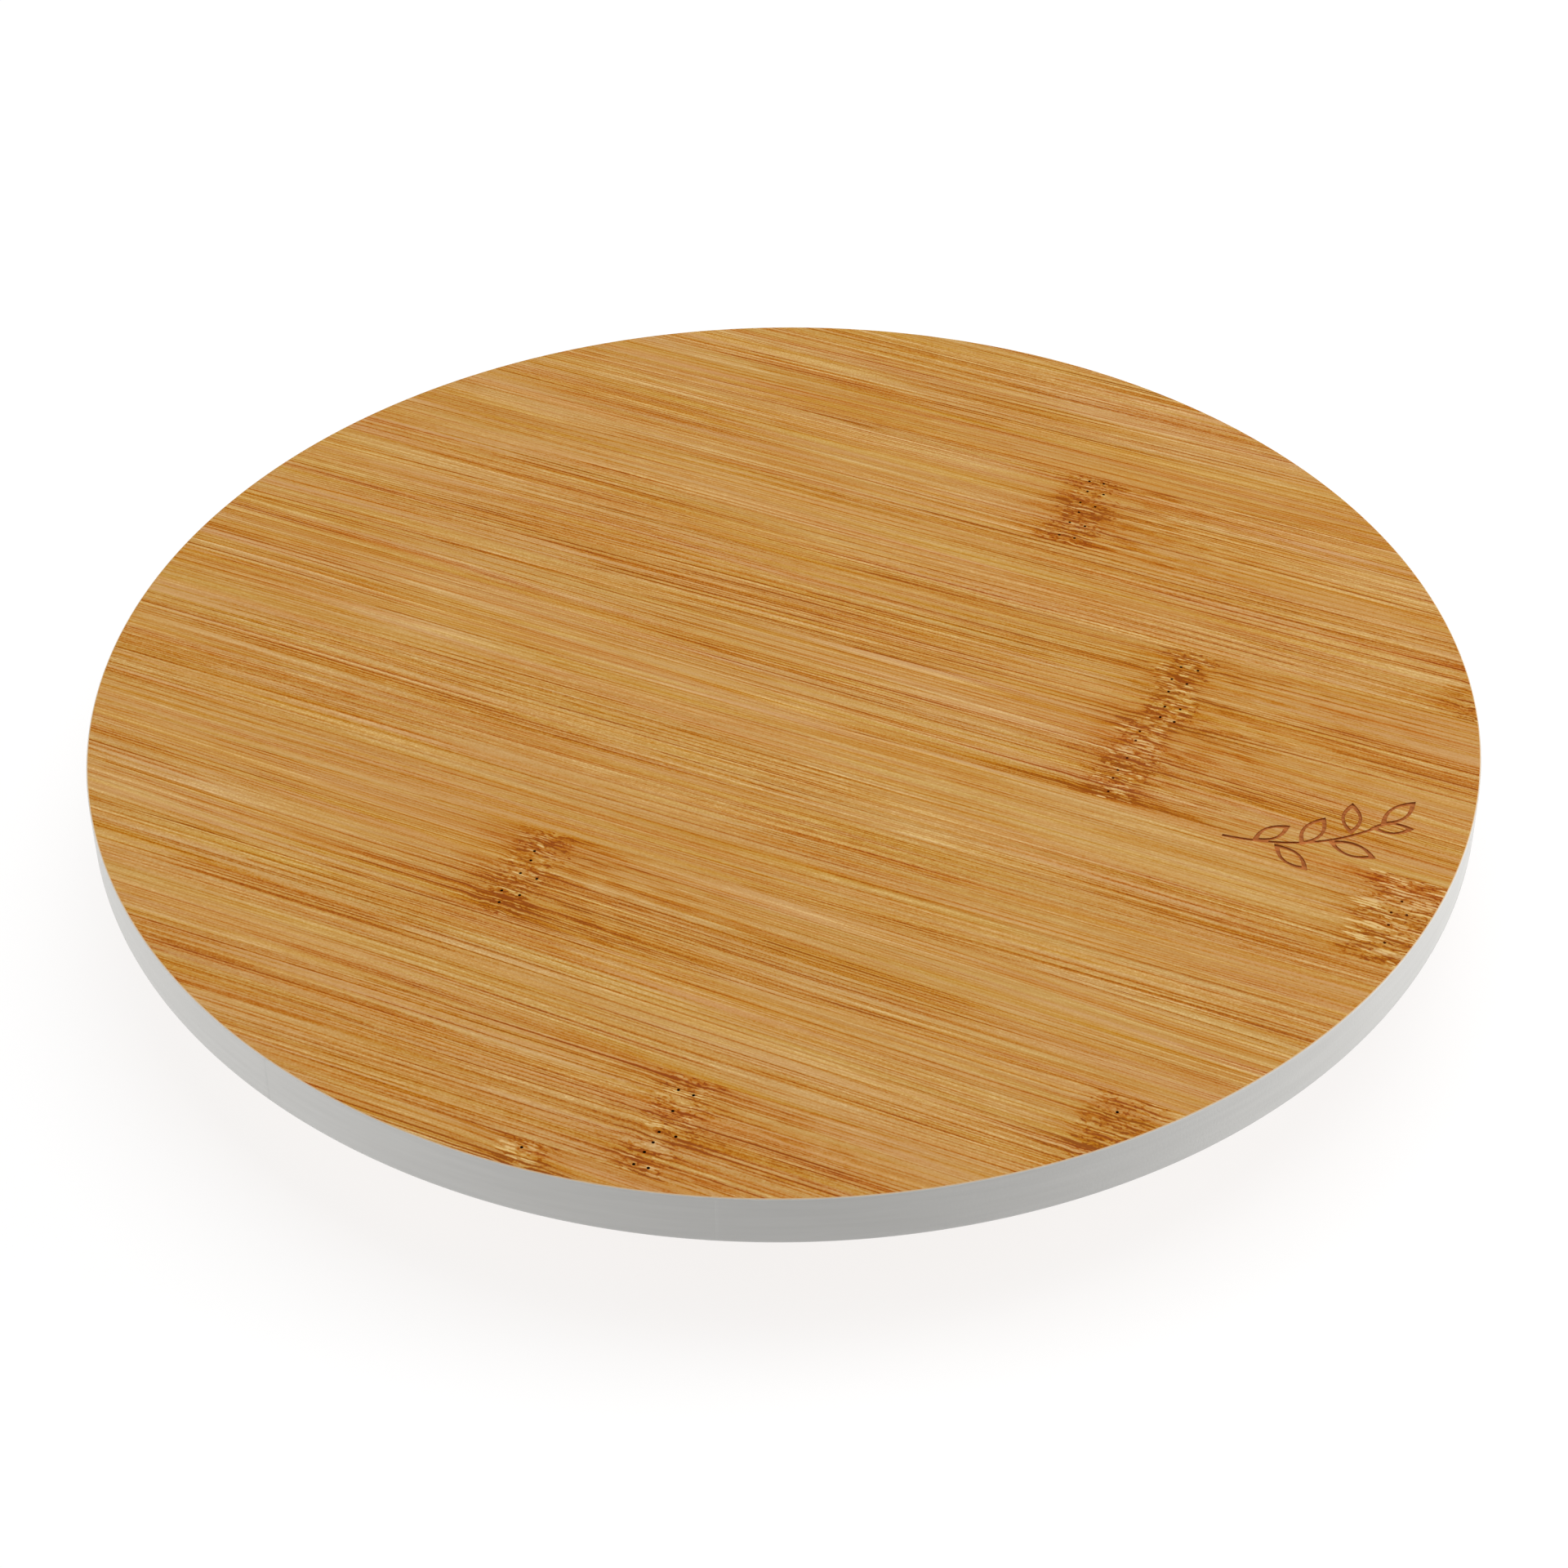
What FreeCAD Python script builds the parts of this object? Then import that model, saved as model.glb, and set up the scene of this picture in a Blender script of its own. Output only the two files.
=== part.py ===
"""Lazy susan turntable: a round laminated bamboo board on a square steel ball bearing and a smaller base.

Millimetres. The origin is the centre of the plane that the rubber feet stand on, and +Z is up along the
axis that the board turns about. +X runs along the grain of the board.
"""

import FreeCAD, Part
import math
import os

Vector = FreeCAD.Vector
UP = Vector(0, 0, 1)
CENTRE = Vector(0, 0, 0)

# Board and base
BOARD_DIAMETER = 250.0
BOARD_THICKNESS = 10.0
BOARD_TOP_BEVEL = 0.4
BOARD_UNDER_BEVEL = 0.7
BASE_DIAMETER = 160.0
BASE_THICKNESS = 10.0
BASE_BEVEL = 1.2
STRIP_WIDTH = 22.9
BOARD_SEAM_Y = -4.0  # one glue seam of the board; the others follow at the strip width

# Square ball bearing, pressed from two steel plates
BEARING_SIDE = 100.0
BEARING_CORNER_ROUND = 8.0
BEARING_HEIGHT = 8.0
SHEET = 1.0
HOLE_SPACING = 84.0
PLATE_HOLE_RADIUS = 2.2
RACE_RADIUS = 35.0
BALL_DIAMETER = 4.0
BALL_PLAY = 0.04  # gap between a ball and each race
BALL_GAP = 0.05  # least gap between one ball and the next
LEDGE_DEPTH = 2.0  # how far the ring that holds the race stands in from the mounting pads
STEP_RADIUS = RACE_RADIUS + 7.0
NECK_RADIUS = RACE_RADIUS - 6.5
UPPER_BORE_RADIUS = RACE_RADIUS - 5.6
FLARE_RADIUS = RACE_RADIUS - 3.2
FLARE_PLAY = 0.3

# Pan-head wood screws
THREAD_RADIUS = 1.75
CORE_RADIUS = 1.25
THREAD_PITCH = 1.3
SCREW_LENGTH = 9.5
TIP_LENGTH = 2.2
HEAD_RADIUS = 3.3
HEAD_HEIGHT = 2.2
HEAD_SIDE = 0.8
HEAD_FLAT_RADIUS = 1.5
RECESS_WIDTH = 0.8
RECESS_LENGTH = 3.6
RECESS_DEPTH = 1.3
PILOT_PLAY = 0.01
PILOT_SPARE = 0.3  # how far a pilot hole runs on past the screw's tip

# Rubber feet, each screwed on through a steel washer
FOOT_COUNT = 4
FOOT_HEIGHT = 5.0
FOOT_TOP_RADIUS = 7.5
FOOT_SOLE_RADIUS = 6.7
FOOT_ROUND = 0.8
FOOT_CIRCLE_RADIUS = 69.0
FOOT_RECESS_RADIUS = 3.9
FOOT_RECESS_DEPTH = 3.4
FOOT_HOLE_RADIUS = 1.9
WASHER_RADIUS = 3.8
WASHER_THICKNESS = 0.8

# Hole in the base through which the board's screws are driven, and the engraved sprig
ACCESS_RADIUS = 8.0
ENGRAVING_DEPTH = 0.3
ENGRAVING_STROKE = 0.6

# Heights of the stack
BASE_BOTTOM = FOOT_HEIGHT
BASE_TOP = BASE_BOTTOM + BASE_THICKNESS
BOARD_BOTTOM = BASE_TOP + BEARING_HEIGHT
BOARD_TOP = BOARD_BOTTOM + BOARD_THICKNESS
RACE_HEIGHT = BASE_TOP + BEARING_HEIGHT / 2.0
HOLE_CIRCLE_RADIUS = HOLE_SPACING / math.sqrt(2.0)
CORNER_ANGLES = [45.0 + 90.0 * i for i in range(4)]
FOOT_ANGLES = [45.0 + 360.0 / FOOT_COUNT * i for i in range(FOOT_COUNT)]


def polar(radius, degrees, z=0.0):
    angle = math.radians(degrees)
    return Vector(radius * math.cos(angle), radius * math.sin(angle), z)


def line(a, b):
    return Part.LineSegment(a, b).toShape()


def arc(a, through, b):
    return Part.Arc(a, through, b).toShape()


def lathe(edges):
    """The solid swept by an outline in the XZ plane as it turns once about Z."""
    return Part.Face(Part.Wire(edges)).revolve(CENTRE, UP, 360)


def closed_lines(points):
    return [line(a, b) for a, b in zip(points, points[1:] + points[:1])]


def band(points, radii, width, normal):
    """A flat band of even width along a path whose corners are rounded to the given radii.

    It lies in the plane across normal, and is the section of a bent sheet or the outline of a stroke.
    """
    directions = [(b - a).normalize() for a, b in zip(points, points[1:])]
    sides = []
    for offset in (width / 2.0, -width / 2.0):
        lefts = [normal.cross(d) * offset for d in directions]
        edges = []
        at = points[0] + lefts[0]
        for i, radius in enumerate(radii):
            corner = points[i + 1]
            before, after = directions[i], directions[i + 1]
            turn = before.getAngle(after)
            reach = radius * math.tan(turn / 2.0)
            inward = (after - before).normalize()
            centre = corner + inward * (radius / math.cos(turn / 2.0))
            left_turn = normal.dot(before.cross(after)) > 0
            side_radius = radius - offset if left_turn else radius + offset
            arc_start = corner - before * reach + lefts[i]
            arc_end = corner + after * reach + lefts[i + 1]
            edges.append(line(at, arc_start))
            edges.append(arc(arc_start, centre - inward * side_radius, arc_end))
            at = arc_end
        edges.append(line(at, points[-1] + lefts[-1]))
        sides.append((edges, points[0] + lefts[0], points[-1] + lefts[-1]))
    (left, left_start, left_end), (right, right_start, right_end) = sides
    ends = [line(left_start, right_start), line(left_end, right_end)]
    return Part.Face(Part.Wire(Part.__sortEdges__(left + right + ends)))


def disc(diameter, thickness, z, under_bevel, top_bevel):
    """A disc with both of its rims bevelled at 45 degrees."""
    r = diameter / 2.0
    top = z + thickness
    return lathe(
        closed_lines(
            [
                Vector(0, 0, z),
                Vector(r - under_bevel, 0, z),
                Vector(r, 0, z + under_bevel),
                Vector(r, 0, top - top_bevel),
                Vector(r - top_bevel, 0, top),
                Vector(0, 0, top),
            ]
        )
    )


def strips(panel, radius, seam_y, z, thickness):
    """The panel cut along X into the glued strips that it is made of, from -Y to +Y."""
    first = math.floor((-radius - seam_y) / STRIP_WIDTH)
    last = math.ceil((radius - seam_y) / STRIP_WIDTH)
    cut = []
    for i in range(first, last):
        low = max(seam_y + i * STRIP_WIDTH, -radius)
        high = min(seam_y + (i + 1) * STRIP_WIDTH, radius)
        slab = Part.makeBox(2 * radius, high - low, thickness, Vector(-radius, low, z))
        cut.append(panel.common(slab).Solids[0])
    return cut


def leaf(root, degrees, length, belly):
    """A leaf's outline, pointed at both ends, as a face in the XY plane."""
    along = polar(1.0, degrees)
    across = polar(1.0, degrees + 90.0)
    tip = root + along * length
    widest = root + along * (0.42 * length)
    return Part.Face(
        Part.Wire([arc(root, widest + across * belly, tip), arc(tip, widest - across * belly, root)])
    )


def engraved_sprig():
    """A sprig of leaves in outline, as the solid that the engraving takes out of the board's top."""
    start, bend, end = Vector(85.0, -5.5, 0), Vector(101.0, -4.0, 0), Vector(109.5, 7.5, 0)
    strokes = [band([start, bend, end], [30.0], ENGRAVING_STROKE, UP)]
    leaves = [
        (Vector(90.2, -4.9, 0), 52.0, 8.0, 1.7),
        (Vector(94.0, -4.3, 0), -32.0, 8.6, 1.8),
        (Vector(98.2, -2.9, 0), 78.0, 9.0, 1.9),
        (Vector(102.3, 0.0, 0), -8.0, 9.0, 1.9),
        (Vector(105.4, 3.2, 0), 104.0, 8.6, 1.8),
        (Vector(108.0, 6.2, 0), 20.0, 7.6, 1.6),
        (Vector(109.5, 7.5, 0), 66.0, 9.4, 1.8),
    ]
    for root, degrees, length, belly in leaves:
        along = polar(1.0, degrees)
        outer = leaf(root, degrees, length, belly)
        tip_room = ENGRAVING_STROKE * 0.5 * length / belly
        inner = leaf(root + along * tip_room, degrees, length - 2 * tip_room, belly - ENGRAVING_STROKE)
        strokes.append(outer.cut(inner))
    depth = UP * (ENGRAVING_DEPTH + 1.0)
    solids = [s.extrude(depth) for s in strokes]
    sprig = solids[0].multiFuse(solids[1:])
    sprig.translate(Vector(0, 0, BOARD_TOP - ENGRAVING_DEPTH))
    return sprig


def pilot_holes(seat_z, way, angles, radius, length):
    """Round holes for wood screws whose heads seat at seat_z and whose tips point along way."""
    depth = length + PILOT_SPARE
    holes = [
        Part.makeCylinder(THREAD_RADIUS + PILOT_PLAY, depth, polar(radius, a, seat_z), way)
        for a in angles
    ]
    return Part.makeCompound(holes)


def board_strips():
    panel = disc(BOARD_DIAMETER, BOARD_THICKNESS, BOARD_BOTTOM, BOARD_UNDER_BEVEL, BOARD_TOP_BEVEL)
    pilots = pilot_holes(BOARD_BOTTOM - SHEET, UP, CORNER_ANGLES, HOLE_CIRCLE_RADIUS, SCREW_LENGTH)
    panel = panel.cut(pilots).cut(engraved_sprig())
    return strips(panel, BOARD_DIAMETER / 2.0, BOARD_SEAM_Y, BOARD_BOTTOM, BOARD_THICKNESS)


def base_strips():
    panel = disc(BASE_DIAMETER, BASE_THICKNESS, BASE_BOTTOM, BASE_BEVEL, BASE_BEVEL)
    plate_pilots = pilot_holes(BASE_TOP + SHEET, -UP, CORNER_ANGLES, HOLE_CIRCLE_RADIUS, SCREW_LENGTH)
    foot_seat = FOOT_RECESS_DEPTH - WASHER_THICKNESS
    foot_pilots = pilot_holes(foot_seat, UP, FOOT_ANGLES, FOOT_CIRCLE_RADIUS, SCREW_LENGTH)
    access = Part.makeCylinder(
        ACCESS_RADIUS, BASE_THICKNESS, Vector(HOLE_CIRCLE_RADIUS, 0, BASE_BOTTOM), UP
    )
    panel = panel.cut(plate_pilots).cut(foot_pilots).cut(access)
    return strips(panel, BASE_DIAMETER / 2.0, -STRIP_WIDTH / 2.0, BASE_BOTTOM, BASE_THICKNESS)


def race_path(pad_z, inwards):
    """Middle line of a pressed plate from its mounting pad to just inside its race, with its bend radii.

    inwards is +1 where the plate steps up from its pad to the balls, and -1 where it steps down.
    """
    ledge_z = pad_z + inwards * LEDGE_DEPTH
    groove = BALL_DIAMETER / 2.0 + BALL_PLAY + SHEET / 2.0
    slope = math.radians(45.0)
    groove_z = RACE_HEIGHT - inwards * groove / math.cos(slope)
    lip = abs(ledge_z - groove_z) / math.tan(slope)
    path = [
        Vector(STEP_RADIUS, 0, pad_z),
        Vector(STEP_RADIUS - 1.0, 0, pad_z),
        Vector(STEP_RADIUS - 1.0 - LEDGE_DEPTH, 0, ledge_z),
        Vector(RACE_RADIUS + lip, 0, ledge_z),
        Vector(RACE_RADIUS, 0, groove_z),
        Vector(RACE_RADIUS - lip, 0, ledge_z),
    ]
    bends = [1.0, 1.0, 0.9, groove, 0.9]
    return path, bends, ledge_z


def plate(path, bends, pad_z):
    """A square plate with rounded corners and four screw holes around the turned ring of its race."""
    side = BEARING_SIDE
    square = Part.makeBox(side, side, SHEET, Vector(-side / 2, -side / 2, pad_z - SHEET / 2))
    corners = [e for e in square.Edges if abs(e.tangentAt(e.FirstParameter).z) > 0.9]
    square = square.makeFillet(BEARING_CORNER_ROUND, corners)
    square = square.cut(Part.makeCylinder(STEP_RADIUS, 2 * SHEET, Vector(0, 0, pad_z - SHEET), UP))
    ring = band(path, bends, SHEET, Vector(0, -1, 0)).revolve(CENTRE, UP, 360)
    whole = square.fuse(ring).removeSplitter()
    holes = [
        Part.makeCylinder(PLATE_HOLE_RADIUS, 2 * SHEET, polar(HOLE_CIRCLE_RADIUS, a, pad_z - SHEET), UP)
        for a in CORNER_ANGLES
    ]
    return whole.cut(Part.makeCompound(holes)).Solids[0]


def lower_plate():
    """The plate on the base. Its inner edge rises as a neck and flares out over the upper plate."""
    pad_z = BASE_TOP + SHEET / 2.0
    path, bends, ledge_z = race_path(pad_z, 1.0)
    upper_ledge_z = BOARD_BOTTOM - SHEET / 2.0 - LEDGE_DEPTH
    flare_z = upper_ledge_z + SHEET + FLARE_PLAY
    path += [
        Vector(NECK_RADIUS, 0, ledge_z),
        Vector(NECK_RADIUS, 0, flare_z),
        Vector(FLARE_RADIUS, 0, flare_z),
    ]
    return plate(path, bends + [1.2, 1.0], pad_z)


def upper_plate():
    pad_z = BOARD_BOTTOM - SHEET / 2.0
    path, bends, ledge_z = race_path(pad_z, -1.0)
    path.append(Vector(UPPER_BORE_RADIUS, 0, ledge_z))
    return plate(path, bends, pad_z)


def balls():
    """A full ring of loose balls, as many as the race holds."""
    count = int(2 * math.pi * RACE_RADIUS / (BALL_DIAMETER + BALL_GAP))
    return Part.makeCompound(
        [
            Part.makeSphere(BALL_DIAMETER / 2.0, polar(RACE_RADIUS, 360.0 * i / count, RACE_HEIGHT))
            for i in range(count)
        ]
    )


def wood_screw():
    """A pan-head screw with its head seated at z = 0 and its tip down. Plain rings stand for the thread."""
    dome_through = Vector(HEAD_RADIUS - 0.45, 0, HEAD_HEIGHT - 0.45)
    dome = arc(Vector(HEAD_FLAT_RADIUS, 0, HEAD_HEIGHT), dome_through, Vector(HEAD_RADIUS, 0, HEAD_SIDE))
    shank = [Vector(HEAD_RADIUS, 0, HEAD_SIDE), Vector(HEAD_RADIUS, 0, 0), Vector(CORE_RADIUS, 0, 0)]
    rings = int((SCREW_LENGTH - TIP_LENGTH) / THREAD_PITCH)
    for i in range(rings):
        z = -THREAD_PITCH * (i + 0.5)
        shank.append(Vector(CORE_RADIUS, 0, z + 0.3 * THREAD_PITCH))
        shank.append(Vector(THREAD_RADIUS, 0, z + 0.05 * THREAD_PITCH))
        shank.append(Vector(THREAD_RADIUS, 0, z - 0.05 * THREAD_PITCH))
        shank.append(Vector(CORE_RADIUS, 0, z - 0.3 * THREAD_PITCH))
    shank.append(Vector(CORE_RADIUS, 0, TIP_LENGTH - SCREW_LENGTH))
    shank.append(Vector(0, 0, -SCREW_LENGTH))
    shank.append(Vector(0, 0, HEAD_HEIGHT))
    shank.append(Vector(HEAD_FLAT_RADIUS, 0, HEAD_HEIGHT))
    body = lathe([dome] + [line(a, b) for a, b in zip(shank, shank[1:])])
    slot = Part.makeBox(
        RECESS_LENGTH,
        RECESS_WIDTH,
        RECESS_DEPTH + 1.0,
        Vector(-RECESS_LENGTH / 2, -RECESS_WIDTH / 2, HEAD_HEIGHT - RECESS_DEPTH),
    )
    across = slot.copy()
    across.rotate(CENTRE, UP, 90)
    return body.cut(slot.fuse(across)).Solids[0]


def placed_screw(radius, degrees, seat_z, tip_up, turn):
    """A screw at a place on a circle, its recess turned by some angle as real ones end up."""
    screw = wood_screw()
    screw.rotate(CENTRE, UP, turn)
    if tip_up:
        screw.rotate(CENTRE, Vector(1, 0, 0), 180)
    screw.translate(polar(radius, degrees, seat_z))
    return screw


def foot():
    """A tapered rubber foot on the Z axis, with a recess for its washer and screw."""
    sole, top = FOOT_SOLE_RADIUS, FOOT_TOP_RADIUS
    lean = 1.0 - math.sqrt(0.5)
    outline = [
        line(Vector(FOOT_RECESS_RADIUS, 0, 0), Vector(sole - FOOT_ROUND, 0, 0)),
        arc(
            Vector(sole - FOOT_ROUND, 0, 0),
            Vector(sole - lean * FOOT_ROUND, 0, lean * FOOT_ROUND),
            Vector(sole, 0, FOOT_ROUND),
        ),
    ]
    rest = [
        Vector(sole, 0, FOOT_ROUND),
        Vector(top, 0, FOOT_HEIGHT),
        Vector(FOOT_HOLE_RADIUS, 0, FOOT_HEIGHT),
        Vector(FOOT_HOLE_RADIUS, 0, FOOT_RECESS_DEPTH),
        Vector(FOOT_RECESS_RADIUS, 0, FOOT_RECESS_DEPTH),
        Vector(FOOT_RECESS_RADIUS, 0, 0),
    ]
    return lathe(outline + [line(a, b) for a, b in zip(rest, rest[1:])])


def washer():
    """The steel washer at the bottom of a foot's recess."""
    low = FOOT_RECESS_DEPTH - WASHER_THICKNESS
    ring = Part.makeCylinder(WASHER_RADIUS, WASHER_THICKNESS, Vector(0, 0, low), UP)
    return ring.cut(Part.makeCylinder(FOOT_HOLE_RADIUS, WASHER_THICKNESS, Vector(0, 0, low), UP))


def at_circle(shape, degrees):
    moved = shape.copy()
    moved.translate(polar(FOOT_CIRCLE_RADIUS, degrees))
    return moved


def build():
    """Every node of the turntable, by name."""
    nodes = {f"board_strip_{i:02d}": s for i, s in enumerate(board_strips(), 1)}
    nodes.update({f"base_strip_{i}": s for i, s in enumerate(base_strips(), 1)})
    nodes["bearing_lower_plate"] = lower_plate()
    nodes["bearing_upper_plate"] = upper_plate()
    nodes["bearing_balls"] = balls()
    for i, angle in enumerate(CORNER_ANGLES, 1):
        nodes[f"base_screw_{i}"] = placed_screw(
            HOLE_CIRCLE_RADIUS, angle, BASE_TOP + SHEET, False, 25.0 * i
        )
        nodes[f"board_screw_{i}"] = placed_screw(
            HOLE_CIRCLE_RADIUS, angle, BOARD_BOTTOM - SHEET, True, 40.0 * i
        )
    for i, angle in enumerate(FOOT_ANGLES, 1):
        nodes[f"foot_{i}"] = at_circle(foot(), angle)
        nodes[f"foot_washer_{i}"] = at_circle(washer(), angle)
        nodes[f"foot_screw_{i}"] = placed_screw(
            FOOT_CIRCLE_RADIUS, angle, FOOT_RECESS_DEPTH - WASHER_THICKNESS, True, 33.0 * i
        )
    return nodes


def main():
    os.makedirs("parts", exist_ok=True)
    for name, shape in build().items():
        if not shape.isValid():
            raise RuntimeError(f"{name} is not a valid shape")
        shape.exportStep(f"parts/{name}.step")
        print(f"{name}: {len(shape.Solids)} solid(s), {shape.Volume:.1f} mm3")


main()
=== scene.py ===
"""The looks of the lazy susan turntable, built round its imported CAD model. Metres, in the CAD's frame."""

import math
import random

import bmesh
import bpy
from mathutils import Matrix, Vector


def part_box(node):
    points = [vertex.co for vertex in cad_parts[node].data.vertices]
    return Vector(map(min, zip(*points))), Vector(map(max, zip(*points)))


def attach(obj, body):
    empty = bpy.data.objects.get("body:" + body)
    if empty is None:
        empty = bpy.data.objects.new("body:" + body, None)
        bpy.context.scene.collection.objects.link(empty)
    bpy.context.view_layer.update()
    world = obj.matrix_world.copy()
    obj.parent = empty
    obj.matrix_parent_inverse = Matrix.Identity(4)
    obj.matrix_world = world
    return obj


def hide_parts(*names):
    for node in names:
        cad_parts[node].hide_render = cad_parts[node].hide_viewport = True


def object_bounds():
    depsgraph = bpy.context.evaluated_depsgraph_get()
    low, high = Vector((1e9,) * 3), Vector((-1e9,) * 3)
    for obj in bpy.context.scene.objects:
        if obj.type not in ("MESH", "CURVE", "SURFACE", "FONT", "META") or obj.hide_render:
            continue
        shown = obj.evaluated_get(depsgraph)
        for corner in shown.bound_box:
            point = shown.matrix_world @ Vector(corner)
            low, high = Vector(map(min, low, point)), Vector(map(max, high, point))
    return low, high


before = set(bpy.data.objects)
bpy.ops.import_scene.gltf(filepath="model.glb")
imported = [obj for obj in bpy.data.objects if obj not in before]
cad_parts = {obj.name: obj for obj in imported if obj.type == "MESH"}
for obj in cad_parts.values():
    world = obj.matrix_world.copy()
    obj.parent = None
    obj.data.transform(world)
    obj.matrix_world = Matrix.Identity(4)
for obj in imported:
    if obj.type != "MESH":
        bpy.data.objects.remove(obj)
cad_low, cad_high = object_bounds()

MM = 0.001
BOARD_STRIPS = [f"board_strip_{i:02d}" for i in range(1, 13)]
BASE_STRIPS = [f"base_strip_{i}" for i in range(1, 8)]
BOARD_TOP = cad_high.z
BOARD_RADIUS = (cad_high.x - cad_low.x) / 2
BOARD_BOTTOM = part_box("board_strip_06")[0].z
BASE_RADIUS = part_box("base_strip_4")[1].x
BASE_BOTTOM, BASE_TOP = (corner.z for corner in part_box("base_strip_4"))

# How round the edges of the two panels are, and how finely their rims are cut into faces
BOARD_TOP_ROUND = 0.4 * MM
BOARD_UNDER_ROUND = 0.7 * MM
BASE_ROUND = 1.2 * MM
TOP_RADIUS = BOARD_RADIUS - BOARD_TOP_ROUND
ROUND_STEPS = 5
ROUND_SUPPORT = 0.3 * MM  # keeps the smooth shading of the rounds off the flats
RIM_STEP = math.radians(0.35)
SLIVER = 0.01 * MM  # a strip that ends this near the rim has no flat side there
WELD = 0.001 * MM

# Holes in the wood
PILOT_RADIUS = 1.76 * MM
PILOT_SPARE = 0.3 * MM  # past the screw's tip
SCREW_HEAD = 2.2 * MM  # the height of a screw's head
ACCESS_HOLE_PLACE = 59.4 * MM
ACCESS_HOLE_RADIUS = 8.0 * MM
PORE_RADIUS = 0.29 * MM
PORE_DEPTH = 0.9 * MM
OVERRUN = 1.0 * MM  # how far a cutter stands out of the wood

# Where the culm's nodes cross each strip, by strip number: the place along the grain and half the width
# in mm, and how strong the pale and the dark marks are
BOARD_CULM_NODES = {
    1: [(7.2, 4.6, 0.8, 0.76)],
    2: [(25.5, 4.3, 0.55, 0.82)],
    3: [(91.0, 5.4, 0.35, 1.0)],
    4: [(-22.5, 4.5, 0.6, 0.92)],
    6: [(118.0, 7.4, 1.3, 0.95)],
    7: [(62.8, 4.4, 1.0, 1.03)],
    8: [(63.8, 4.2, 0.9, 1.03)],
    9: [(117.0, 4.4, 0.7, 0.9)],
    10: [(29.0, 4.8, 0.5, 1.08)],
}
BASE_CULM_NODES = {
    2: [(-31.0, 4.2, 0.6, 0.9)],
    4: [(22.0, 4.0, 0.5, 1.0)],
    6: [(48.0, 4.6, 0.8, 0.8)],
    7: [(-12.0, 4.2, 0.6, 0.8)],
}

# How a node wanders on its way across a strip: its slant, and its sway in mm and in radians per mm
CULM_SLANT = 0.03
CULM_SWAY = 0.5
CULM_SWAY_RATE = 0.33

# The pores along a node, in mm: their spacing across the strip, how far they stray from the node's line,
# the gap in a pair of pores, the share of pairs, and the margins to the strip's sides and the board's rim
PORE_PITCH = (2.4, 5.4)
PORE_STRAY = 0.4
PORE_GAP = (2.2, 3.4)
PORE_PAIRS = 0.4
PORE_MARGIN_LOW = (1.5, 3.0)
PORE_MARGIN_HIGH = 1.2
PORE_MARGIN_RIM = 2.5

# The engraved sprig in mm: its stem's start, bend and end, and each leaf's root, direction in degrees,
# length and half width
ENGRAVED_STRIPS = (6, 7)
ENGRAVING_DEPTH = 0.3 * MM
STROKE = 0.6 * MM
STEM = ((85.0, -5.5), (101.5, -4.2), (109.5, 7.5))
STEM_STEPS = 20
LEAVES = [
    ((90.2, -4.9), 52.0, 8.0, 1.7),
    ((94.0, -4.3), -32.0, 8.6, 1.8),
    ((98.2, -2.9), 78.0, 9.0, 1.9),
    ((102.3, 0.0), -8.0, 9.0, 1.9),
    ((105.4, 3.2), 104.0, 8.6, 1.8),
    ((108.0, 6.2), 20.0, 7.6, 1.6),
    ((109.5, 7.5), 66.0, 9.4, 1.8),
]
LEAF_STEPS = 14


def linear(red, green, blue):
    """A colour given as the 0 to 255 numbers of a screen, for a shader socket."""
    def one(value):
        value /= 255.0
        return value / 12.92 if value <= 0.04045 else ((value + 0.055) / 1.055) ** 2.4

    return one(red), one(green), one(blue), 1.0


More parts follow.
